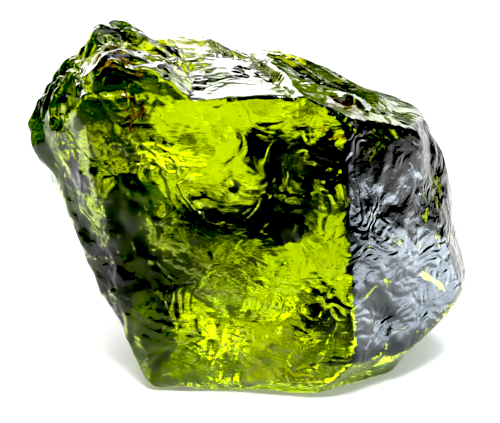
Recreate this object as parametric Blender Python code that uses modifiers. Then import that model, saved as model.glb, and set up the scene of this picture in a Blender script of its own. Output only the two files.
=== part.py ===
"""Rough green tourmaline: one broken piece of clear crystal that stands on a flat base.

Metres, +Z up, +X to the right, the big front face towards -Y.
The origin is under the middle of the stone, on the surface it stands on.

Three blocks are cleaved along flat fracture faces and joined into one stone.
Its surface is then raised and sunk by named lumps, hollows, grooves and broad waves.
"""

import math

import bmesh
import bpy
import numpy as np
from mathutils import Matrix, Vector

# Driving dimensions, in millimetres and degrees
NAME = "tourmaline"
HEART = Vector((0.0, -0.3, 8.2))
ROUGH_BLOCK = 40.0
CELL = 0.53
SOFT_START = 0.25
SOFT_END = 1.6
BASE_TRIM = 0.04
METRES = 0.001

# Fracture faces: turn from +X, tilt above level, distance from the heart of the stone
SIDES = {
    "front": (-98, -1, 6.0),
    "left front": (-134, -9, 8.1),
    "left overhang": (180, -25, 8.1),
    "left foot": (-177, -27, 8.0),
    "left strip": (-162, 31, 10.8),
    "right": (-47, 2, 8.2),
    "right rim": (-15, 11, 9.55),
    "right shoulder": (5, 26, 9.8),
    "right undercut": (-15, -38, 11.05),
    "right foot": (-30, -50, 11.3),
    "right front foot": (-55, -42, 10.3),
    "front bevel": (-95, -42, 9.3),
    "back": (84, 8, 6.8),
    "back left": (140, -6, 7.8),
    "back right": (32, 6, 9.3),
    "back undercut": (95, -38, 8.0),
    "back left foot": (160, -34, 7.4),
}
BODY_TOP = {
    "left shoulder": (150, 52, 9.5),
    "plateau": (-111, 82, 7.4),
    "right fall": (17, 55, 6.0),
    "right top": (15, 74, 6.4),
    "right strip": (-8, 34, 9.5),
    "upper back": (95, 48, 8.1),
}
BLOCK_TOP = {
    "block side": (179, 43, 10.8),
    "block crown": (-148, 74, 10.0),
    "block shelf": (-25, 75, 6.9),
    "block flank": (-11, 60, 5.0),
    "block back": (80, 50, 6.0),
}
RIDGE_TOP = {
    "ridge left": (-171, 59, 5.0),
    "ridge end": (120, 62, 7.6),
    "ridge face": (9, 70, 6.8),
    "ridge strip": (-8, 34, 9.5),
    "ridge back": (80, 40, 8.5),
}

# Lumps and hollows: centre, reach along X, Y and Z, rise (a hollow has a negative rise)
FORMS = {
    "crown lump": ((-6.3, -1.2, 16.8), (1.3, 1.3, 1.0), 0.90),
    "second lump": ((-5.3, -0.6, 16.4), (0.8, 0.9, 0.8), 0.60),
    "crumb above brow": ((-5.6, -4.2, 16.2), (0.8, 0.6, 0.6), 0.25),
    "crumb on flank": ((-3.9, -4.6, 15.6), (0.7, 0.8, 0.6), 0.22),
    "flank lump": ((-2.0, 2.2, 14.8), (0.9, 1.6, 0.9), 0.40),
    "right hollow": ((8.4, -3.8, 7.8), (2.6, 3.0, 3.4), -0.15),
    "corner beads": ((6.8, 1.2, 13.4), (1.1, 1.0, 0.7), 0.50),
    "corner bead": ((4.6, -3.6, 14.0), (0.8, 0.8, 0.6), 0.25),
    "left pit": ((-7.3, -4.6, 14.6), (0.8, 0.8, 0.9), -0.22),
    "tip pit": ((-9.6, -2.6, 11.8), (0.7, 0.9, 0.9), -0.25),
    "right dimple": ((6.6, -5.3, 3.4), (1.2, 1.0, 0.9), -0.30),
    "under the tip": ((-9.2, -1.8, 10.6), (1.4, 2.6, 1.5), -0.50),
    "back window": ((-1.0, 6.2, 9.6), (3.6, 1.8, 3.0), -0.55),
    "back knob": ((3.6, 6.2, 6.2), (2.4, 1.8, 2.4), 0.50),
    "back hollow": ((-5.2, 4.6, 7.0), (2.6, 2.0, 2.4), -0.55),
    "back rib": ((-2.2, 5.6, 4.2), (2.8, 2.0, 1.6), 0.50),
    "back scar": ((5.8, 5.2, 10.0), (2.0, 1.8, 2.4), -0.45),
}

# Broad waves over the whole stone: turn and tilt of the run, wave length, height, start
WAVES = [
    (20, 35, 7.3, 0.10, 0.3),
    (75, -20, 5.9, 0.09, 1.7),
    (140, 15, 5.1, 0.07, 2.9),
    (-35, 60, 4.3, 0.06, 4.4),
    (110, -50, 3.7, 0.05, 5.2),
]

# Striations along the back ridge: run, centre, reach across, spacing, depth
RIDGE_GROOVES = {
    "middle": Vector((3.2, 3.6, 14.2)),
    "reach": 2.6,
    "across": Vector((0.25, 0.85, -0.45)).normalized(),
    "spacing": 1.3,
    "depth": 0.16,
}


def facing(turn, tilt):
    """Unit vector that faces turn degrees round from +X and tilt degrees up."""
    turn = math.radians(turn)
    tilt = math.radians(tilt)
    level = math.cos(tilt)
    return Vector((math.cos(turn) * level, math.sin(turn) * level, math.sin(tilt)))


def collection(name):
    """A new collection in the scene."""
    made = bpy.data.collections.new(name)
    bpy.context.scene.collection.children.link(made)
    return made


def cleave(name, faces, home):
    """A block with everything beyond each of its fracture faces broken off."""
    bm = bmesh.new()
    bmesh.ops.create_cube(bm, size=ROUGH_BLOCK, matrix=Matrix.Translation(HEART))
    floor = {"base": (0, -90, HEART.z)}
    for turn, tilt, reach in {**floor, **SIDES, **faces}.values():
        normal = facing(turn, tilt)
        everything = bm.verts[:] + bm.edges[:] + bm.faces[:]
        cut = bmesh.ops.bisect_plane(
            bm,
            geom=everything,
            plane_co=HEART + normal * reach,
            plane_no=normal,
            clear_outer=True,
        )
        rim = [item for item in cut["geom_cut"] if isinstance(item, bmesh.types.BMEdge)]
        bmesh.ops.holes_fill(bm, edges=rim)
    bmesh.ops.recalc_face_normals(bm, faces=bm.faces)
    mesh = bpy.data.meshes.new(name)
    bm.to_mesh(mesh)
    bm.free()
    block = bpy.data.objects.new(name, mesh)
    home.objects.link(block)
    return block


def join(stone, block):
    """Grow a second block into the stone, and keep it only as a guide."""
    union = stone.modifiers.new("join " + block.name, "BOOLEAN")
    union.operation = "UNION"
    union.solver = "EXACT"
    union.object = block
    block.hide_render = True
    block.display_type = "WIRE"


def even_out(stone, home):
    """Cover the joined blocks with small even faces, and press them back on the flat ones."""
    bpy.context.view_layer.update()
    evaluated = stone.evaluated_get(bpy.context.evaluated_depsgraph_get())
    joined = bpy.data.meshes.new_from_object(evaluated)
    flat_faced = bpy.data.objects.new("flat faced stone", joined)
    home.objects.link(flat_faced)
    flat_faced.hide_render = True
    flat_faced.display_type = "WIRE"
    remesh = stone.modifiers.new("even faces", "REMESH")
    remesh.mode = "VOXEL"
    remesh.voxel_size = CELL
    press = stone.modifiers.new("press on flat faces", "SHRINKWRAP")
    press.target = flat_faced
    press.wrap_method = "NEAREST_SURFACEPOINT"
    bpy.context.view_layer.update()
    evaluated = stone.evaluated_get(bpy.context.evaluated_depsgraph_get())
    fine = bpy.data.meshes.new_from_object(evaluated)
    stone.modifiers.clear()
    stone.data = fine


def smooth_step(low, high, value):
    """0 below low, 1 above high, with an even turn between."""
    share = np.clip((value - low) / (high - low), 0.0, 1.0)
    return share * share * (3.0 - 2.0 * share)


def rise(points):
    """How far each point moves outwards, from the named forms, waves and grooves."""
    total = np.zeros(len(points))
    for centre, reach, height in FORMS.values():
        apart = ((points - np.array(centre)) / np.array(reach)) ** 2
        total += height * np.exp(-1.4 * apart.sum(axis=1))
    for turn, tilt, length, height, start in WAVES:
        along = points @ np.array(facing(turn, tilt))
        total += height * np.sin(2.0 * math.pi * along / length + start)
    grooves = RIDGE_GROOVES
    away = points - np.array(grooves["middle"])
    across = away @ np.array(grooves["across"])
    near = np.exp(-((away**2).sum(axis=1)) / grooves["reach"] ** 2)
    total += near * grooves["depth"] * np.sin(2.0 * math.pi * across / grooves["spacing"])
    return total * smooth_step(SOFT_START, SOFT_END, points[:, 2])


def weather(stone):
    """Move the surface out from the heart by its lumps and in by its hollows."""
    mesh = stone.data
    points = np.empty(len(mesh.vertices) * 3)
    mesh.vertices.foreach_get("co", points)
    points = points.reshape(-1, 3)
    outward = points - np.array(HEART)
    outward /= np.linalg.norm(outward, axis=1)[:, None]
    points += outward * rise(points)[:, None]
    mesh.vertices.foreach_set("co", points.ravel())


def flatten_base(stone):
    """Trim the base to one flat face, and put the origin under the middle of the stone."""
    bm = bmesh.new()
    bm.from_mesh(stone.data)
    cut = bmesh.ops.bisect_plane(
        bm,
        geom=bm.verts[:] + bm.edges[:] + bm.faces[:],
        plane_co=(0.0, 0.0, BASE_TRIM),
        plane_no=(0.0, 0.0, -1.0),
        clear_outer=True,
    )
    rim = [item for item in cut["geom_cut"] if isinstance(item, bmesh.types.BMEdge)]
    bmesh.ops.holes_fill(bm, edges=rim)
    bmesh.ops.triangulate(bm, faces=bm.faces)
    bmesh.ops.recalc_face_normals(bm, faces=bm.faces)
    places = [vert.co for vert in bm.verts]
    middle_x = (min(p.x for p in places) + max(p.x for p in places)) / 2
    middle_y = (min(p.y for p in places) + max(p.y for p in places)) / 2
    bmesh.ops.translate(bm, verts=bm.verts, vec=(-middle_x, -middle_y, -BASE_TRIM))
    bmesh.ops.scale(bm, verts=bm.verts, vec=(METRES, METRES, METRES))
    bm.to_mesh(stone.data)
    bm.free()


def green_crystal():
    """Clear yellow-green crystal."""
    material = bpy.data.materials.new("green crystal")
    material.use_nodes = True
    shader = material.node_tree.nodes["Principled BSDF"]
    shader.inputs["Base Color"].default_value = (0.42, 0.55, 0.03, 1.0)
    shader.inputs["Roughness"].default_value = 0.05
    shader.inputs["IOR"].default_value = 1.63
    shader.inputs["Transmission Weight"].default_value = 1.0
    return material


def main():
    """Build the stone."""
    for old in list(bpy.data.objects):
        bpy.data.objects.remove(old, do_unlink=True)
    home = collection(NAME)
    guides = collection("blocks joined in")
    stone = cleave(NAME, BODY_TOP, home)
    join(stone, cleave("top left block", BLOCK_TOP, guides))
    join(stone, cleave("back ridge", RIDGE_TOP, guides))
    even_out(stone, guides)
    weather(stone)
    flatten_base(stone)
    stone.data.materials.append(green_crystal())


main()
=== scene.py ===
# %% [markdown]
# # A rough green tourmaline
#
# The object is one broken piece of clear yellow-green crystal. It has a large front face, a dark
# face that turns away on the right, narrow faces on the left, and a rough top with a lumpy block,
# a pale terrace and a long ridge. This lesson builds the fine stone that replaces the plain solid.
#
# A photo of a clear stone is mostly a photo of what the stone bends the light round to. So the
# shape of the hidden back matters as much as the shape of the front, and both are modelled here.

# %% The frame and the tools
import math

import bpy
import numpy as np
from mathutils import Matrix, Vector


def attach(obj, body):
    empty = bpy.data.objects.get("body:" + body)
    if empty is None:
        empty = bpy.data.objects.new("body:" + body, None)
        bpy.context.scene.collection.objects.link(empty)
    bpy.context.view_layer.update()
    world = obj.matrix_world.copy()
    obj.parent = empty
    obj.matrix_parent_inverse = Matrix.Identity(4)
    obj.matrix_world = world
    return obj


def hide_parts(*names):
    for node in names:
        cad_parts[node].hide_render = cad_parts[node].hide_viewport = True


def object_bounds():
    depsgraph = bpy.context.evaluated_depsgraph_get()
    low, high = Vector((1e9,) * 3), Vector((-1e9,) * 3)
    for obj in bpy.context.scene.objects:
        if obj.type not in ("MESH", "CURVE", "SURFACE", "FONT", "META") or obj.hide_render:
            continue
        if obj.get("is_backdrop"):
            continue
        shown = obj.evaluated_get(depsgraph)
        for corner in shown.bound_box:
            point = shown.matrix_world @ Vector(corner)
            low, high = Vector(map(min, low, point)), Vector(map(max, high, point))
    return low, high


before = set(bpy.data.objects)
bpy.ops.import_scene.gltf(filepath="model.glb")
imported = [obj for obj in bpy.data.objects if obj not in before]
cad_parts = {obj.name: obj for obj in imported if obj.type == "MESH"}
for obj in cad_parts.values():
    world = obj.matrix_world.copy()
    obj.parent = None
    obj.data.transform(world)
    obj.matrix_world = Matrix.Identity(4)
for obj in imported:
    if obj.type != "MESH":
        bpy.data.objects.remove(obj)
cad_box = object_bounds()
METRES = 0.001
print("solid box in mm:", [[round(v / METRES, 2) for v in corner] for corner in cad_box])

# %% [markdown]
# ## Fracture faces
#
# A real rough crystal is bounded by the faces along which it broke. One could model them by
# cutting a block by hand. Here each face is a line in a table: the way it faces, and its distance
# from the heart, a point well inside the stone. So changing one number moves a face. The stone's
# surface in any direction is where the first face is met. A block and a ridge stand on top, so
# three such bodies are worked out, and the outermost of them is the stone.

# %% The faces, in degrees round from +X, degrees up, and millimetres from the heart
HEART = np.array([0.0, -0.3, 8.2])

SIDES = {
    "front": (-98, -1, 6.0),
    "left front": (-134, -9, 8.1),
    "left overhang": (180, -25, 8.1),
    "left foot": (-177, -27, 8.0),
    "left strip": (-162, 31, 10.8),
    "right": (-47, 2, 8.2),
    "right rim": (-15, 11, 9.55),
    "right shoulder": (5, 26, 9.8),
    "right undercut": (-15, -38, 11.05),
    "right foot": (-30, -50, 11.3),
    "right front foot": (-55, -42, 10.3),
    "front bevel": (-95, -42, 9.3),
    "base": (0, -90, 8.2),
    "back": (84, 8, 6.8),
    "back left": (140, -6, 7.8),
    "back right": (32, 6, 9.3),
    "back undercut": (95, -38, 8.0),
    "back left foot": (160, -34, 7.4),
}
BODY_TOP = {
    "left shoulder": (150, 52, 9.5),
    "plateau": (-111, 82, 7.4),
    "right fall": (17, 55, 6.0),
    "right top": (15, 74, 6.4),
    "right strip": (-8, 34, 9.5),
    "upper back": (95, 48, 8.1),
}
BLOCK_TOP = {
    "block side": (179, 43, 10.8),
    "block crown": (-148, 74, 10.0),
    "block shelf": (-25, 75, 6.9),
    "block flank": (-11, 60, 5.0),
    "block back": (80, 50, 6.0),
}
RIDGE_TOP = {
    "ridge left": (-171, 59, 5.0),
    "ridge end": (120, 62, 7.6),
    "ridge face": (9, 70, 6.8),
    "ridge strip": (-8, 34, 9.5),
    "ridge back": (80, 40, 8.5),
}
print("fracture faces:", len(SIDES) + len(BODY_TOP) + len(BLOCK_TOP) + len(RIDGE_TOP))

# %% [markdown]
# ## From faces to a surface
#
# A sharp minimum over the faces would give knife edges, which no handled stone keeps. A soft
# minimum rounds every edge a little. It also tells how much each face shares in a point, and
# those shares later place the relief and the finish of each face without a seam.

# %% The distance to the surface in any direction
EDGE_CRISPNESS = 80


def facing(turn, tilt):
    """Unit vector: turn degrees round from +X, then tilt degrees up."""
    turn = math.radians(turn)
    tilt = math.radians(tilt)
    level = math.cos(tilt)
    return np.array([math.cos(turn) * level, math.sin(turn) * level, math.sin(tilt)])


def body_reach(ways, faces):
    """Distance to the surface of one convex body, for whole arrays of directions.

    A face with normal n and distance h is met at h / (way . n). The nearest meeting is taken as
    a soft minimum: one over the p-norm of the values (way . n) / h. Also returns each face's
    share in that norm, which is 1 well inside the face and falls to 0 past its edges.
    """
    normals = np.array([facing(turn, tilt) for turn, tilt, _ in faces.values()])
    reaches = np.array([reach for _, _, reach in faces.values()])
    closeness = np.maximum(ways @ normals.T, 1e-9) / reaches
    nearest = closeness.max(axis=1, keepdims=True)
    powers = (closeness / nearest) ** EDGE_CRISPNESS
    total = powers.sum(axis=1)
    distance = 1.0 / (nearest[:, 0] * total ** (1.0 / EDGE_CRISPNESS))
    shares = dict(zip(faces, (powers / total[:, None]).T))
    return distance, shares


def stone_reach(ways, stagger):
    """Distance to the stone's surface, the outermost of its three bodies, and the face shares.

    The block and the ridge count as outermost only where they stand out by more than the
    stagger, given in mm for each direction.
    """
    distance = np.zeros(len(ways))
    shares = {}
    for top in (BODY_TOP, BLOCK_TOP, RIDGE_TOP):
        reach, own = body_reach(ways, {**SIDES, **top})
        outer = reach > distance + stagger * (top is not BODY_TOP)
        distance = np.where(outer, reach, distance)
        for name in set(shares) | set(own):
            before = shares.get(name, np.zeros(len(ways)))
            shares[name] = np.where(outer, own.get(name, 0.0), before)
    return distance, shares


# %% [markdown]
# ## A grid all round the stone
#
# A globe's grid of rings crowds at its poles. A cube whose six sides are square grids, blown up
# to a sphere, spreads its points evenly and has no poles. Every grid point is then one direction
# from the heart.

# %% Directions from the heart
GRID = 128


def cube_grid(count):
    """Directions to the points of six square grids, and the quads between them.

    On each side of a cube from -1 to 1 the two parameters run over tan(angle), with the angle
    in even steps from -45 to 45 degrees, so that the cells seen from the centre are alike.
    Points that two sides share along an edge are merged.
    """
    steps = np.tan(np.linspace(-math.pi / 4, math.pi / 4, count + 1))
    across, along = np.meshgrid(steps, steps, indexing="ij")
    one = np.ones_like(across)
    sides = [
        (one, across, along),
        (-one, along, across),
        (along, one, across),
        (across, -one, along),
        (across, along, one),
        (along, across, -one),
    ]
    points = np.concatenate([np.stack(side, axis=-1).reshape(-1, 3) for side in sides])
    index = np.arange((count + 1) ** 2).reshape(count + 1, count + 1)
    cell = np.stack([index[:-1, :-1], index[1:, :-1], index[1:, 1:], index[:-1, 1:]], axis=-1)
    quads = np.concatenate([cell.reshape(-1, 4) + side * index.size for side in range(6)])
    _, first, merged = np.unique(np.round(points, 6), axis=0, return_index=True, return_inverse=True)
    points = points[first]
    return points / np.linalg.norm(points, axis=1)[:, None], merged.reshape(-1)[quads]


ways, quads = cube_grid(GRID)
print("grid points:", len(ways), "triangles:", 2 * len(quads))

# %% [markdown]
# ## Chance that can be repeated
#
# Broken stone is uneven in a way that no simple wave gives. Two kinds of seeded unevenness are
# used, and both come out the same on every run. Swells are smooth value noise. Scallops are
# bowls that meet in crests, which is how glassy minerals break.

# %% Swells and scallops


def chance(cell, seed):
    """A repeatable number from 0 to 1 for each whole-number cell, from mixed-up bits."""
    x, y, z = cell[..., 0], cell[..., 1], cell[..., 2]
    bits = (x * 73856093) ^ (y * 19349663) ^ (z * 83492791) ^ (seed * 2654435761)
    bits = (bits ^ (bits >> 13)) * 1274126177
    bits = (bits ^ (bits >> 16)) & 0xFFFFFF
    return bits / float(0xFFFFFF)


def swell(points, seed):
    """Value noise from -1 to 1: chances at the eight cell corners, blended by smooth steps."""
    corner = np.floor(points)
    part = points - corner
    part = part**3 * (part * (part * 6 - 15) + 10)
    corner = corner.astype(np.int64)
    total = np.zeros(len(points))
    for step in np.ndindex(2, 2, 2):
        weight = np.where(np.array(step) == 1, part, 1 - part).prod(axis=1)
        total += weight * chance(corner + np.array(step), seed)
    return total * 2 - 1


def swells(points, length, octaves, seed, gain=0.5):
    """Swells of the given length in mm, with finer and lower ones added octave by octave."""
    total = np.zeros(len(points))
    scale = 1.0
    for octave in range(octaves):
        total += scale * swell(points * 2**octave / length + 17.3 * octave, seed + octave)
        scale *= gain
    return total / ((1 - gain**octaves) / (1 - gain))


def scallops(points, size, seed):
    """Bowls that meet in crests: squared distance to the nearest seed, one seed in each cell.

    The value is 0 at the bottom of a bowl and about 0.5 on the crests between bowls.
    """
    cells = np.floor(points / size).astype(np.int64)
    nearest = np.full(len(points), 9.0)
    for step in np.ndindex(3, 3, 3):
        cell = cells + np.array(step) - 1
        seeds = np.stack([chance(cell, seed + axis) for axis in range(3)], axis=1)
        apart = points / size - cell - seeds
        nearest = np.minimum(nearest, (apart**2).sum(axis=1))
    return nearest


def smooth_step(low, high, value):
    """0 below low, 1 above high, with an even turn between."""
    part = np.clip((value - low) / (high - low), 0.0, 1.0)
    return part * part * (3.0 - 2.0 * part)


def stretched(points, way, share):
    """Points pulled together along a way, so that a pattern read there is drawn out along it."""
    return points - np.outer(points @ way, way) * share


def squared_apart(points, centre, size):
    """Squared distance from a centre, counted in the size along each axis."""
    return (((points - np.array(centre)) / np.array(size)) ** 2).sum(axis=1)


# %% [markdown]
# ## Edges that wander
#
# The edge of a real break is never straight. Each direction is turned a little by swells before
# its distance is looked up, so the edges wander and the faces between them stay nearly flat.
# The seams where the block and the ridge meet the body are made ragged by an uneven stagger.

# %% The broken body
WANDER = ((0.022, 3.0), (0.010, 1.0))
WANDER_RADIUS = 8.0
STAGGER = 0.25
STAGGER_LENGTH = 1.3
STAGGER_ABOVE = (0.5, 0.6)


def wandered(ways):
    """Directions turned by swells: each pair is a turn in radians and the length of the swell."""
    turned = ways.copy()
    for level, (turn, length) in enumerate(WANDER):
        seeds = [201 + 10 * level + 3 * axis for axis in range(3)]
        push = [swells(ways * WANDER_RADIUS, length, 2, seed) for seed in seeds]
        turned += turn * np.stack(push, axis=1)
    return turned / np.linalg.norm(turned, axis=1)[:, None]


stagger = STAGGER * (1 + swells(ways * WANDER_RADIUS, STAGGER_LENGTH, 2, 231))
stagger = stagger * smooth_step(*STAGGER_ABOVE, ways[:, 2])
reach, share = stone_reach(wandered(ways), stagger)
flat_points = HEART + ways * reach[:, None]
print("surface from", round(reach.min(), 2), "to", round(reach.max(), 2), "mm from the heart")


def groups(*names):
    """The summed share of several faces, from 0 to 1."""
    return sum(share[name] for name in names)


# %% [markdown]
# ## Lumps, hollows and waves
#
# These are the forms that the solid has too: lumps on the block and at the back, hollows, broad
# waves, and the grooves that run along the ridge. They are the same named values as in the
# solid's source, so that the fine surface stays close to it.

# %% The forms that the solid shares
FORMS = {
    "crown lump": ((-6.3, -1.2, 16.8), (1.3, 1.3, 1.0), 0.90),
    "second lump": ((-5.3, -0.6, 16.4), (0.8, 0.9, 0.8), 0.60),
    "crumb above brow": ((-5.6, -4.2, 16.2), (0.8, 0.6, 0.6), 0.25),
    "crumb on flank": ((-3.9, -4.6, 15.6), (0.7, 0.8, 0.6), 0.22),
    "flank lump": ((-2.0, 2.2, 14.8), (0.9, 1.6, 0.9), 0.40),
    "right hollow": ((8.4, -3.8, 7.8), (2.6, 3.0, 3.4), -0.15),
    "corner beads": ((6.8, 1.2, 13.4), (1.1, 1.0, 0.7), 0.50),
    "corner bead": ((4.6, -3.6, 14.0), (0.8, 0.8, 0.6), 0.25),
    "left pit": ((-7.3, -4.6, 14.6), (0.8, 0.8, 0.9), -0.22),
    "tip pit": ((-9.6, -2.6, 11.8), (0.7, 0.9, 0.9), -0.25),
    "right dimple": ((6.6, -5.3, 3.4), (1.2, 1.0, 0.9), -0.30),
    "under the tip": ((-9.2, -1.8, 10.6), (1.4, 2.6, 1.5), -0.50),
    "back window": ((-1.0, 6.2, 9.6), (3.6, 1.8, 3.0), -0.55),
    "back knob": ((3.6, 6.2, 6.2), (2.4, 1.8, 2.4), 0.50),
    "back hollow": ((-5.2, 4.6, 7.0), (2.6, 2.0, 2.4), -0.55),
    "back rib": ((-2.2, 5.6, 4.2), (2.8, 2.0, 1.6), 0.50),
    "back scar": ((5.8, 5.2, 10.0), (2.0, 1.8, 2.4), -0.45),
}
FORM_FALL = 1.4
WAVES = [
    (20, 35, 7.3, 0.10, 0.3),
    (75, -20, 5.9, 0.09, 1.7),
    (140, 15, 5.1, 0.07, 2.9),
    (-35, 60, 4.3, 0.06, 4.4),
    (110, -50, 3.7, 0.05, 5.2),
]
RIDGE_MIDDLE = np.array([3.2, 3.6, 14.2])
RIDGE_REACH = 2.6
RIDGE_ACROSS = np.array([0.25, 0.85, -0.45]) / np.linalg.norm([0.25, 0.85, -0.45])
RIDGE_SPACING = 1.3
RIDGE_DEPTH = 0.16


def shared_rise(points):
    """How far the shared forms lift the surface: soft domes, long sine waves and ridge grooves.

    A dome is its height times exp(-1.4 q), with q the squared distance in units of its reach.
    """
    total = np.zeros(len(points))
    for centre, size, height in FORMS.values():
        total += height * np.exp(-FORM_FALL * squared_apart(points, centre, size))
    for turn, tilt, length, height, start in WAVES:
        total += height * np.sin(2 * math.pi * (points @ facing(turn, tilt)) / length + start)
    away = points - RIDGE_MIDDLE
    near = np.exp(-((away**2).sum(axis=1)) / RIDGE_REACH**2)
    total += near * RIDGE_DEPTH * np.sin(2 * math.pi * (away @ RIDGE_ACROSS) / RIDGE_SPACING)
    return total


rise = shared_rise(flat_points)
print("shared forms lift by", round(rise.min(), 2), "to", round(rise.max(), 2), "mm")

# %% [markdown]
# ## Relief of the front
#
# The front is a smooth curved break. Fine rays fan out on it from the point low on the right
# where the blow fell, slow ripples run round that point, and a few curved ribs cross the lower
# left. Small round pits with raised rims are scattered over it and over the narrow left faces.

# %% Rays, ripples, ribs and pits
BLOW = np.array([5.0, -7.0, 4.4])
RAY_HEIGHT = 0.06
RAYS_PER_RADIAN = 6.0
RAY_CHANGE_PER_MM = 0.35
RAY_START = (0.3, 2.0)
RIPPLE_HEIGHT = 0.03
RIPPLE_PACE = 2.3
RIPPLE_BEND = 2.8
RIB_HEIGHT = 0.06
RIB_PACE = 13.0
RIBS_MIDDLE = (-3.6, -6.6, 3.4)
RIBS_SIZE = (1.7, 2.0, 0.9)
RIBS_CENTRE = np.array([-3.2, -6.6, 7.4])
COLUMN_MIDDLE = (-5.5, -6.4, 6.2)
COLUMN_SIZE = (2.0, 3.0, 5.0)
COLUMN_WAY = facing(-70, 62)
COLUMN_DEPTH = 0.28
COLUMN_SINK = 0.07
PIT_DEPTH = 0.4
PIT_REACH_IN = 1.2
RING_DEPTHS = (0.30, 0.12)
RING_SINK = 0.12
PITS = {
    "upper left": (-7.2, -5.2, 15.2, 0.34),
    "tip ring": (-8.9, -3.6, 13.2, 0.50),
    "front ring": (3.5, -6.2, 7.4, 0.30),
    "long ring": (-2.2, -6.3, 9.4, 0.36),
    "middle ring": (-0.6, -6.3, 10.6, 0.26),
    "left ring": (-5.4, -6.0, 12.6, 0.24),
    "low ring": (-5.6, -6.4, 6.2, 0.30),
}


def front_relief(points):
    """Rays, ripples, curved ribs and small bowls.

    A ray's height is a swell read along the angle round the point of the blow. A ripple's height
    is a sine of the distance from that point, bent by a slow swell. A rib's height is a sine of
    the distance from a second centre above, and it fades away from the middle of the ribs. The
    bowls fill a column on the left and are drawn out upwards.
    """
    away = points - BLOW
    distance = np.linalg.norm(away, axis=1)
    angle = np.arctan2(away[:, 2], -away[:, 0])
    across, outwards = angle * RAYS_PER_RADIAN, distance * RAY_CHANGE_PER_MM
    fan = np.stack([across, outwards, np.zeros(len(points))], axis=1)
    rays = RAY_HEIGHT * swells(fan, 1.0, 4, 41, 0.6) * smooth_step(*RAY_START, distance)
    bend = RIPPLE_BEND * swells(points, 3.0, 2, 43)
    ripples = RIPPLE_HEIGHT * np.sin(distance * RIPPLE_PACE + bend)
    ribs_near = np.exp(-squared_apart(points, RIBS_MIDDLE, RIBS_SIZE))
    ribs_distance = np.linalg.norm((points - RIBS_CENTRE)[:, [0, 2]], axis=1)
    ribs = RIB_HEIGHT * ribs_near * np.sin(ribs_distance * RIB_PACE)
    column = np.exp(-squared_apart(points, COLUMN_MIDDLE, COLUMN_SIZE))
    pushed = stretched(points, COLUMN_WAY, 0.6) + 0.1 * bend[:, None]
    bowls = column * (COLUMN_DEPTH * scallops(pushed, 0.9, 45) - COLUMN_SINK)
    return rays + ripples + ribs + bowls


def pitted_relief(points):
    """Round pits with raised rims: depth (q - 1) exp(-q), with q = (distance / radius) squared."""
    total = np.zeros(len(points))
    for x, y, z, radius in PITS.values():
        apart = squared_apart(points, (x, y, z), (radius, PIT_REACH_IN, radius))
        total += PIT_DEPTH * radius * (apart - 1.0) * np.exp(-apart)
    return total


def ringed_relief(points):
    """Bowls of two sizes that meet in low crests, for the narrow faces on the left."""
    pushed = points + 0.3 * swells(points, 1.5, 2, 141)[:, None]
    wide, small = RING_DEPTHS
    return wide * scallops(pushed, 1.5, 143) + small * scallops(pushed, 0.6, 147) - RING_SINK


front_side = groups("front", "front bevel", "left front")
left_side = groups("left strip", "left front")
front_rise = front_side * front_relief(flat_points) + left_side * ringed_relief(flat_points)
rise += front_rise + pitted_relief(flat_points)
print("front relief from", round(front_rise.min(), 2), "to", round(front_rise.max(), 2), "mm")

# %% [markdown]
# ## Relief of the back
#
# The back is what the front shows through the stone. The broken light of the photo, with dark
# and bright patches side by side, comes from deep bowls there that bend the view up, down and
# sideways. They are drawn out along one slant, the crystal's own grain. A calm spot is kept
# behind the upper middle, where the photo shows one wide clear patch.

# %% Deep bowls along the grain
GRAIN = np.array([0.72, 0.10, -0.68])
CALM_MIDDLE = (-1.4, 6.4, 10.4)
CALM_SIZE = (2.6, 4.0, 3.2)
CALM_SHARE = 0.8
BOWL_DEPTHS = (1.3, 0.40)
BOWL_SINK = 0.5
BOWL_PUSH = 1.1
GRAIN_STRETCH = 0.55


def back_relief(points):
    """Bowls of two sizes, pushed about by swells so that the crests wander.

    Each is its depth times the squared distance to its nearest seed, read at points drawn out
    along the grain. All are lowered by one minus a soft spot where the back stays calm.
    """
    push = np.stack([swells(points, 3.0, 3, seed) for seed in (51, 53, 55)], axis=1)
    moved = stretched(points, GRAIN, GRAIN_STRETCH) + BOWL_PUSH * push
    wide, small = BOWL_DEPTHS
    bowls = wide * scallops(moved, 3.2, 61) + small * scallops(moved, 1.2, 67) - BOWL_SINK
    calm = 1 - CALM_SHARE * np.exp(-squared_apart(points, CALM_MIDDLE, CALM_SIZE))
    return calm * (bowls + 0.10 * swells(moved, 0.9, 3, 57, 0.6))


back_side = groups("back", "back left", "back undercut", "back left foot", "upper back", "block back")
back_side = back_side + 0.5 * groups("back right", "left foot", "left overhang", "ridge back")
back_rise = back_side * back_relief(flat_points)
rise += back_rise
print("back relief from", round(back_rise.min(), 2), "to", round(back_rise.max(), 2), "mm")

# %% [markdown]
# ## Relief of the top, the right and the base
#
# The block is crumbly, and so is the front corner at the top right. The terrace between them
# has low steps and short dashes that break its white reflection, a hump at its back edge, and
# scree where the block meets it. The right face is streaked. The base is hollowed a little, and
# the stone stands on the crests between the hollows.

# %% Crumbs, steps, streaks and hollows
STREAK_WAY = facing(40, -35)
STREAK_HEIGHT = 0.07
STREAK_STRETCH = 0.86
STEP_HEIGHT = 0.032
DASH_HEIGHT = 0.020
BASE_SOFTNESS = (0.15, 1.2)
BASE_HOLLOW = 0.42
BASE_TRIM = 0.04
HUMP_HEIGHT = 0.42
HUMP_MIDDLE = (-1.6, 3.2, 15.4)
HUMP_SIZE = (2.0, 1.2, 1.6)
SCREE_DEPTH = 0.45
SCREE_MIDDLE = (-2.7, -1.0, 15.6)
SCREE_SIZE = (1.1, 4.0, 2.0)
CORNER_MIDDLE = (5.2, -3.4, 13.6)
CORNER_SIZE = (2.4, 1.8, 1.2)


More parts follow.
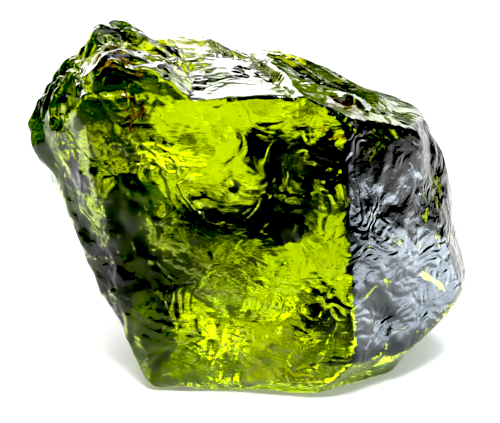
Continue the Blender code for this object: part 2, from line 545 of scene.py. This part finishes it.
def crumbly_relief(points):
    """Small blunt crumbs: upside-down bowls of two sizes."""
    return 0.35 - 0.55 * scallops(points, 1.1, 71) - 0.2 * scallops(points, 0.5, 75)


def stepped_relief(points):
    """Low steps from front to back, dashes, a hump at the back and scree beside the block.

    The dashes are swells drawn out along X. The hump and the scree each fade from a middle, and
    the scree is a field of small bowls.
    """
    run = points[:, 1] * 0.9 + swells(points, 2.0, 3, 81) * 1.6
    part = run - np.floor(run)
    steps = STEP_HEIGHT * (smooth_step(0.0, 0.7, part) - smooth_step(0.8, 1.0, part))
    dashes = DASH_HEIGHT * swells(points * np.array([0.40, 1.0, 1.0]), 0.32, 2, 83)
    hump = HUMP_HEIGHT * np.exp(-squared_apart(points, HUMP_MIDDLE, HUMP_SIZE))
    scree = np.exp(-squared_apart(points, SCREE_MIDDLE, SCREE_SIZE)) * scallops(points, 0.7, 87)
    return steps + dashes + hump - SCREE_DEPTH * scree


def streaked_relief(points):
    """Fine streaks: swells stretched along a slanting line on the face."""
    drawn_out = stretched(points, STREAK_WAY, STREAK_STRETCH)
    return STREAK_HEIGHT * swells(drawn_out, 0.9, 4, 91, 0.6)


def base_relief(points):
    """Hollows up into the base: bowls between crests, with the crests left where they are."""
    pushed = points + 0.4 * swells(points, 2.0, 2, 131)[:, None]
    return np.clip(scallops(pushed, 2.1, 133), 0.0, BASE_HOLLOW) - BASE_HOLLOW


crumbly = groups("block flank", "block side", "block crown", "block shelf", "left shoulder")
terrace = groups("plateau", "right fall", "right top", "ridge left")
right_side = groups("right", "right rim", "right shoulder", "right strip", "ridge strip")
corner = 0.8 * np.exp(-squared_apart(flat_points, CORNER_MIDDLE, CORNER_SIZE))
rise += (crumbly + corner) * crumbly_relief(flat_points)
rise += terrace * stepped_relief(flat_points)
rise += right_side * streaked_relief(flat_points)
rise += 0.10 * swells(flat_points, 2.6, 3, 101)
rise *= smooth_step(*BASE_SOFTNESS, flat_points[:, 2])
rise += share["base"] * base_relief(flat_points)
print("whole relief from", round(rise.min(), 2), "to", round(rise.max(), 2), "mm")

# %% [markdown]
# ## The stone's mesh
#
# Every point moves out from the heart by its rise, and anything below the base is pressed flat.
# The stone is then set where the frame's solid stands, its middle over the solid's middle. The
# arrays go into the mesh in one call each, which is far quicker than adding vertices one by one.

# %% Points into a mesh


def mesh_from(name, points, quads):
    """A mesh from whole arrays of points in mm and quads."""
    mesh = bpy.data.meshes.new(name)
    mesh.vertices.add(len(points))
    mesh.vertices.foreach_set("co", (points * METRES).astype(np.float32).ravel())
    mesh.loops.add(quads.size)
    mesh.loops.foreach_set("vertex_index", quads.astype(np.int32).ravel())
    mesh.polygons.add(len(quads))
    mesh.polygons.foreach_set("loop_start", np.arange(0, quads.size, 4, dtype=np.int32))
    mesh.update(calc_edges=True)
    mesh.validate()
    return mesh


points = flat_points + ways * rise[:, None]
points[:, 2] = np.maximum(points[:, 2], BASE_TRIM) - BASE_TRIM
fine_box = np.array([points.min(axis=0), points.max(axis=0)])
solid_box = np.array(cad_box) / METRES
shift = solid_box.mean(axis=0) - fine_box.mean(axis=0)
shift[2] = solid_box[0][2] - fine_box[0][2]
stone_mesh = mesh_from("stone", points + shift, quads)
stone_mesh.shade_smooth()
stone = bpy.data.objects.new("stone", stone_mesh)
bpy.context.scene.collection.objects.link(stone)
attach(stone, "root")
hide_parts("tourmaline")
print("fine size in mm:", (fine_box[1] - fine_box[0]).round(2), "moved by", shift.round(3))

# %% [markdown]
# ## Painted shade, rust and frost
#
# Patches of painted shade lie on the broken faces: a dark colour, nearly closed to light, that
# stands in for the dark which bent light gives. Those on the far side show through the stone as
# the black, torn patches of the photo, and the right face is nearly covered by painted shade, but
# for two places left clear. The crumbly top carries a little painted shade too. Brown grains sit
# in the crumbly top. The terrace is a little frosted. How much of each there is gets stored on the
# mesh, one number for each point, so that it stays on the stone whichever way it is turned.

# %% How much of each, point by point
# Painted shade on the far faces: dark patches that show through the stone in place of the dark that
# bent light gives.
FAR_PAINTED_SHADE = {
    "left column": ((-5.8, 4.0, 5.6), (2.2, 6.0, 4.4), 0.92),
    "below the ridge": ((1.6, 6.0, 10.9), (1.1, 4.0, 1.2), 1.12),
    "middle band": ((1.4, 6.0, 6.6), (3.0, 4.0, 1.9), 1.30),
    "lower left": ((-3.2, 5.5, 4.4), (1.9, 4.0, 1.6), 1.00),
    "bottom right": ((4.8, 4.5, 1.6), (1.3, 4.0, 1.0), 1.12),
    "top right": ((4.2, 5.5, 9.6), (1.3, 4.0, 1.9), 1.05),
    "swirls": ((-0.6, 6.0, 4.4), (2.4, 4.0, 1.8), 0.24),
}
# Painted shade on the front faces, seen directly.
NEAR_PAINTED_SHADE = {
    "left front": ((-6.9, -5.0, 6.4), (1.5, 2.0, 4.4), 0.68),
    "slit": ((-4.1, -6.5, 3.7), (1.6, 2.0, 0.22), 0.80),
    "tip": ((-8.6, -4.0, 10.6), (1.2, 1.6, 1.2), 0.50),
    "front corner": ((3.9, -6.6, 12.0), (1.0, 2.0, 2.2), 0.62),
}
# Places on the right face that are left clear of its painted shade.
UNSHADED_ON_RIGHT = {
    "below the corner": ((6.4, -5.2, 12.9), (1.0, 1.6, 1.1), 0.55),
    "by the rim": ((8.8, -2.4, 8.4), (0.7, 1.4, 1.8), 0.30),
}
# Even painted shade over the far side, most of the right face and the crumbly block.
PAINTED_SHADE_ON_FAR_SIDE = 0.10
PAINTED_SHADE_ON_RIGHT = 0.88
PAINTED_SHADE_ON_BLOCK = 0.36
FROST_ON_TERRACE = 0.5
RUST = {
    "brown crystals": ((-6.1, -4.4, 16.3), (1.4, 2.2, 1.0), 1.15),
    "under the brow": ((-5.1, -6.4, 14.2), (0.8, 1.2, 1.4), 1.05),
    "front corner": ((3.9, -5.8, 12.0), (1.1, 2.0, 2.0), 0.80),
    "corner beads": ((4.6, -4.2, 13.6), (1.6, 2.4, 1.0), 0.95),
}


def spots(points, places):
    """Soft spots, each its depth times exp(-q), with q the squared distance in its sizes."""
    total = np.zeros(len(points))
    for centre, size, depth in places.values():
        total += depth * np.exp(-squared_apart(points, centre, size))
    return total


def attribute(mesh, name, values):
    """Store one number per point on the mesh, for a material to read."""
    layer = mesh.attributes.new(name, "FLOAT", "POINT")
    layer.data.foreach_set("value", values.astype(np.float32))
    print(name, "is", round(float(values.mean()), 3), "on average")


far_side = groups("back", "back left", "back right", "back undercut", "back left foot", "left foot")
far_side = far_side + groups("left overhang", "base")
# The painted shade, point by point: an even share, the patches, and less where the right face is left
# clear.
painted_shade = PAINTED_SHADE_ON_FAR_SIDE * far_side + far_side * spots(points, FAR_PAINTED_SHADE)
painted_shade += front_side * spots(points, NEAR_PAINTED_SHADE)
painted_shade += right_side * (PAINTED_SHADE_ON_RIGHT - spots(points, UNSHADED_ON_RIGHT)) + PAINTED_SHADE_ON_BLOCK * crumbly
attribute(stone_mesh, "painted_shade", painted_shade)
attribute(stone_mesh, "rust", spots(points, RUST))
attribute(stone_mesh, "frost", FROST_ON_TERRACE * terrace)

# %% [markdown]
# ## Helpers for the material
#
# A material is a graph of nodes. These short functions each add one node, and give back the
# socket that carries its result, so that the graph can be written as plain formulas.

# %% Node helpers
crystal = bpy.data.materials.new("green crystal")
crystal.use_nodes = True
nodes = crystal.node_tree.nodes
links = crystal.node_tree.links
shader = nodes["Principled BSDF"]
on_object = nodes.new("ShaderNodeTexCoord").outputs["Object"]


def attribute_node(name):
    """The value that the mesh stores under a name."""
    node = nodes.new("ShaderNodeAttribute")
    node.attribute_name = name
    return node.outputs["Fac"]


def noise_node(source, scale, detail, roughness, distortion):
    """A noise texture read at the given coordinates, scale in cells per metre."""
    node = nodes.new("ShaderNodeTexNoise")
    node.inputs["Scale"].default_value = scale
    node.inputs["Detail"].default_value = detail
    node.inputs["Roughness"].default_value = roughness
    node.inputs["Distortion"].default_value = distortion
    links.new(source, node.inputs["Vector"])
    return node.outputs["Fac"]


def math_node(operation, *values):
    """One sum, product or sine of values, each a socket or a number."""
    node = nodes.new("ShaderNodeMath")
    node.operation = operation
    for socket, value in zip(node.inputs, values):
        if isinstance(value, float):
            socket.default_value = value
        else:
            links.new(value, socket)
    return node.outputs["Value"]


def step_node(value, low, high):
    """0 below low and 1 above high, with an even turn between."""
    node = nodes.new("ShaderNodeMapRange")
    node.interpolation_type = "SMOOTHSTEP"
    node.inputs["From Min"].default_value = low
    node.inputs["From Max"].default_value = high
    links.new(value, node.inputs["Value"])
    return node.outputs["Result"]


def tint_node(amount, first, second):
    """A colour between two, each a socket or a colour."""
    node = nodes.new("ShaderNodeMix")
    node.data_type = "RGBA"
    links.new(amount, node.inputs["Factor"])
    for socket, value in ((node.inputs["A"], first), (node.inputs["B"], second)):
        if isinstance(value, tuple):
            socket.default_value = value
        else:
            links.new(value, socket)
    return node.outputs["Result"]


def bump_node(height, distance, below=None):
    """A bump of the given height in metres, over the normal of an earlier bump."""
    node = nodes.new("ShaderNodeBump")
    node.inputs["Distance"].default_value = distance
    links.new(height, node.inputs["Height"])
    if below is not None:
        links.new(below, node.inputs["Normal"])
    return node.outputs["Normal"]


# %% [markdown]
# ## The crystal
#
# Tourmaline bends light by about 1.63, between window glass and sapphire. Its green lies in the
# whole body, not on the skin, so it is set by absorption: the longer the way through, the deeper
# the green. Painting the surface green would give a flat, plastic look.

# %% Clear body
ABSORPTION_TINT = (0.942, 0.958, 0.0, 1.0)
ABSORPTION_PER_METRE = 1520.0
shader.inputs["IOR"].default_value = 1.63
absorb = nodes.new("ShaderNodeVolumeAbsorption")
absorb.inputs["Color"].default_value = ABSORPTION_TINT
absorb.inputs["Density"].default_value = ABSORPTION_PER_METRE
links.new(absorb.outputs["Volume"], nodes["Material Output"].inputs["Volume"])
kept = [math.exp(-ABSORPTION_PER_METRE * (1 - tint) * 10 * METRES) for tint in ABSORPTION_TINT[:3]]
print("light kept over 10 mm, red, green, blue:", [round(value, 3) for value in kept])

# %% [markdown]
# ## Torn painted shade
#
# The stored amount of painted shade changes slowly. To tear its edges, fine noise drawn out along
# the grain is added to it, and only where the sum passes a limit is there painted shade. It first
# turns dark and then closed to light, so that its rim has no milky line. The rust is made the
# same way.

# %% Painted shade, rust and frost in the material
TEAR = 3.8
SHADE_FROM = 0.46
SHADE_TURN = 0.08
SHADE_CLOSES_AFTER = 0.07
SHADE_CLOSED = 0.90
RUST_GRAIN = 2.6
RUST_EDGE = (1.90, 2.05)
GLOSS = 0.015
DULL = 0.30
CLEAR = (1.0, 1.0, 1.0, 1.0)
BROWN = (0.50, 0.12, 0.006, 1.0)
# The colour of the painted shade.
PAINTED_SHADE_BLACK_GREEN = (0.0003, 0.0012, 0.0002, 1.0)

along_grain = nodes.new("ShaderNodeMapping")
along_grain.inputs["Rotation"].default_value = (0.0, math.radians(43), 0.0)
along_grain.inputs["Scale"].default_value = (0.30, 1.0, 1.0)
links.new(on_object, along_grain.inputs["Vector"])
grain = along_grain.outputs["Vector"]

tear = noise_node(grain, scale=760.0, detail=8.0, roughness=0.66, distortion=0.9)
tear = math_node("MULTIPLY", tear, TEAR)
# Painted shade: past its limit, the stored amount plus tear turns the colour black-green and closes
# the stone to light.
shade_field = math_node("ADD", attribute_node("painted_shade"), tear)
shade_edge = SHADE_FROM + TEAR / 2
dark = step_node(shade_field, shade_edge, shade_edge + SHADE_TURN)
closes_from = shade_edge + SHADE_CLOSES_AFTER
closed = step_node(shade_field, closes_from, closes_from + SHADE_CLOSES_AFTER)
closed = math_node("MULTIPLY", closed, SHADE_CLOSED)
specks = noise_node(on_object, scale=1900.0, detail=4.0, roughness=0.6, distortion=0.5)
specks = math_node("MULTIPLY", specks, RUST_GRAIN)
rusty = step_node(math_node("ADD", attribute_node("rust"), specks), *RUST_EDGE)
# The colour is clear, brown where there is rust, and black-green where there is painted shade.
colour = tint_node(dark, tint_node(rusty, CLEAR, BROWN), PAINTED_SHADE_BLACK_GREEN)
links.new(colour, shader.inputs["Base Color"])
links.new(math_node("SUBTRACT", 1.0, closed), shader.inputs["Transmission Weight"])

dull = nodes.new("ShaderNodeMapRange")
dull.inputs["To Min"].default_value = GLOSS
dull.inputs["To Max"].default_value = DULL
links.new(attribute_node("frost"), dull.inputs["Value"])
links.new(dull.outputs["Result"], shader.inputs["Roughness"])
print("skin starts at", shade_edge, "in the field of amount and tear")

# %% [markdown]
# ## Fine lines
#
# Down to less than the mesh's cells, a glassy break still carries fine flow lines, hair-thin
# streaks along the grain, and a faint overall unevenness. These three are bumps, one over the
# other. They only bend the light a little more, for the real relief is in the mesh.

# %% Flow lines, streaks and faint unevenness
FLOW_BANDS = 42.0
FLOW_HEIGHT = 0.000013
STREAK_BUMP = 0.000055
FAINT_BUMP = 0.000006

flow = noise_node(on_object, scale=420.0, detail=2.0, roughness=0.5, distortion=0.6)
flow = math_node("SINE", math_node("MULTIPLY", flow, FLOW_BANDS))
streaks = noise_node(grain, scale=1500.0, detail=5.0, roughness=0.6, distortion=0.4)
faint = noise_node(on_object, scale=5200.0, detail=3.0, roughness=0.6, distortion=0.0)
normal = bump_node(flow, FLOW_HEIGHT)
normal = bump_node(streaks, STREAK_BUMP, normal)
normal = bump_node(faint, FAINT_BUMP, normal)
links.new(normal, shader.inputs["Normal"])
stone_mesh.materials.append(crystal)
print("material nodes:", len(nodes))

# %% [markdown]
# ## Floor
#
# The stone stands on white paper. A clear stone gets most of its light from the paper behind
# and below it, so the paper is kept bright, and glows a little to soften the shadows.

# %% White paper
PAPER_WHITE = 0.92
PAPER_GLOW = 0.22
scene = bpy.context.scene
bpy.ops.mesh.primitive_plane_add(size=0.8)
floor = bpy.context.object
floor.name = "floor"
floor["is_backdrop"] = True
paper = bpy.data.materials.new("white paper")
paper.use_nodes = True
sheet = paper.node_tree.nodes["Principled BSDF"]
sheet.inputs["Base Color"].default_value = (PAPER_WHITE, PAPER_WHITE, PAPER_WHITE, 1.0)
sheet.inputs["Roughness"].default_value = 0.9
sheet.inputs["Emission Color"].default_value = (1.0, 1.0, 1.0, 1.0)
sheet.inputs["Emission Strength"].default_value = PAPER_GLOW
floor.data.materials.append(paper)
print("floor is", floor.dimensions.x, "m wide")

# %% [markdown]
# ## Lights
#
# Each light has one job. The table light is a wide soft box that looks straight down just behind
# the stone, and whitens the paper. The terrace light stands low behind, just where the terrace
# mirrors it to the camera. The front fill lightens the shadow at the foot. The ridge light stands
# behind on the right, and shines through the ridge and along the rim. The side strip lies low on
# the right, and its mirror image is the pale blue sheen on the dark right face.
#
# The room itself is nearly dark. The last lines raise the picture's black level a little, which
# takes off the faint haze that the white paper lays over dark, glossy faces.

# %% Soft boxes and a dim room
WHITE = (1.0, 1.0, 1.0)
PALE_BLUE = (0.74, 0.87, 1.0)
ROOM_GLOW = 0.05
BLACK_LEVEL = 0.054


def softbox(name, place, aim, size, power, spread=180, colour=WHITE):
    """A rectangular light that faces a point, its rays kept within the spread in degrees."""
    data = bpy.data.lights.new(name, "AREA")
    data.shape = "RECTANGLE"
    data.size, data.size_y = size
    data.energy = power
    data.spread = math.radians(spread)
    data.color = colour
    light = bpy.data.objects.new(name, data)
    scene.collection.objects.link(light)
    light.location = place
    light.rotation_euler = (Vector(aim) - Vector(place)).to_track_quat("-Z", "Y").to_euler()
    print(name, "gives", power, "W")


softbox("table light", (0.0, 0.045, 0.12), (0.0, 0.0451, 0.0), (0.34, 0.11), 0.074, spread=80)
softbox("terrace light", (-0.026, 0.13, 0.058), (0.0, 0.0, 0.012), (0.084, 0.105), 0.165)
softbox("front fill", (0.0, -0.10, 0.15), (0.0, 0.016, 0.0), (0.26, 0.03), 0.052, spread=26)
softbox("ridge light", (0.07, 0.11, 0.055), (0.003, 0.002, 0.014), (0.07, 0.07), 0.06)
STRIP_PLACE = (0.021, -0.005, 0.0027)
STRIP_AIM = (0.0, -0.005, 0.0027)
softbox("side strip", STRIP_PLACE, STRIP_AIM, (0.018, 0.0041), 0.0019, colour=PALE_BLUE)

scene.world = bpy.data.worlds.new("studio")
scene.world.use_nodes = True
room = scene.world.node_tree.nodes["Background"]
room.inputs["Color"].default_value = (1.0, 1.0, 1.0, 1.0)
room.inputs["Strength"].default_value = ROOM_GLOW
scene.view_settings.view_transform = "Standard"
scene.view_settings.use_curve_mapping = True
scene.view_settings.curve_mapping.black_level = (BLACK_LEVEL, BLACK_LEVEL, BLACK_LEVEL)

# %% [markdown]
# ## Camera
#
# The photo is taken from a little above, through a long lens from close by, so the sides hardly
# converge. The camera looks at the middle of the stone from 104 mm away.

# %% Camera
AIM = (0.2, 0.0, 7.5)
CAMERA_DISTANCE = 0.104
CAMERA_TILT = math.radians(16)
camera_data = bpy.data.cameras.new("camera")
camera_data.lens = 150.0
camera_data.clip_start = 0.001
camera = bpy.data.objects.new("camera", camera_data)
scene.collection.objects.link(camera)
aim = (Vector(AIM) + Vector(shift)) * METRES
back_and_up = Vector((0.0, -math.cos(CAMERA_TILT), math.sin(CAMERA_TILT)))
camera.location = aim + CAMERA_DISTANCE * back_and_up
camera.rotation_euler = (math.pi / 2 - CAMERA_TILT, 0.0, 0.0)
scene.camera = camera
print("camera at", [round(value, 4) for value in camera.location])

# %% [markdown]
# ## Sizes
#
# The fine stone must fill nearly the same box as the solid, to within a few tenths of a
# millimetre, so both boxes are printed side by side.

# %% Sizes and finish
visual_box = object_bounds()
boxes = {"cad": cad_box, "visual": visual_box}
for name, box in boxes.items():
    print(name, "size in mm:", [round((high - low) / METRES, 2) for low, high in zip(*box)])
